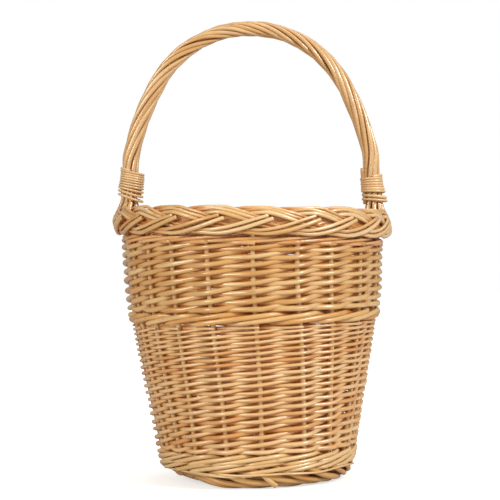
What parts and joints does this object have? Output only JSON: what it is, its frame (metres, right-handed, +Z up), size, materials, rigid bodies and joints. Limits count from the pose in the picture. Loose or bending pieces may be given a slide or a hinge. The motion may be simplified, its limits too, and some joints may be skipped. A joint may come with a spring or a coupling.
{
  "type": "round willow egg basket",
  "caption": "Round woven willow basket for collecting eggs: deep tapered body, plaited border and a fixed arched handle of twisted rods.",
  "frame": {"origin": "on the ground under the centre of the base", "axes": "+Z up, the handle arches over in the XZ plane, the front faces -Y"},
  "size_m": [0.2786, 0.2786, 0.4571],
  "materials": {
    "stakes": "peeled willow, semi-gloss",
    "weave": "peeled willow, semi-gloss",
    "wale": "peeled willow, semi-gloss",
    "border": "peeled willow, semi-gloss",
    "foot": "peeled willow, semi-gloss",
    "base": "peeled willow, semi-gloss",
    "bow": "peeled willow, semi-gloss",
    "rope": "peeled willow, semi-gloss",
    "binding": "thin split willow, semi-gloss"
  },
  "bodies": {
    "root": {"stake_1": "stakes", "stake_2": "stakes", "stake_3": "stakes", "stake_4": "stakes", "stake_5": "stakes", "stake_6": "stakes", "stake_7": "stakes", "stake_8": "stakes", "stake_9": "stakes", "stake_10": "stakes", "stake_11": "stakes", "stake_12": "stakes", "stake_13": "stakes", "stake_14": "stakes", "stake_15": "stakes", "stake_16": "stakes", "stake_17": "stakes", "stake_18": "stakes", "stake_19": "stakes", "stake_20": "stakes", "base_stick_1": "base", "base_stick_2": "base", "base_stick_3": "base", "base_stick_4": "base", "base_stick_5": "base", "base_stick_6": "base", "base_stick_7": "base", "base_stick_8": "base", "base_stick_9": "base", "base_stick_10": "base", "base_weave": "base", "foot_border": "foot", "upsett_wale": "wale", "lower_rand": "weave", "middle_wale": "wale", "upper_rand": "weave", "top_wale": "wale", "border_plait": "border", "handle_bow": "bow", "rope_rod_1": "rope", "rope_rod_2": "rope", "rope_rod_3": "rope", "rope_rod_4": "rope", "rope_rod_5": "rope", "rope_rod_6": "rope", "rope_rod_7": "rope", "rope_rod_8": "rope", "binding_left": "binding", "binding_right": "binding", "rod_end_left": "rope", "rod_end_right": "rope"}
  },
  "joints": []
}
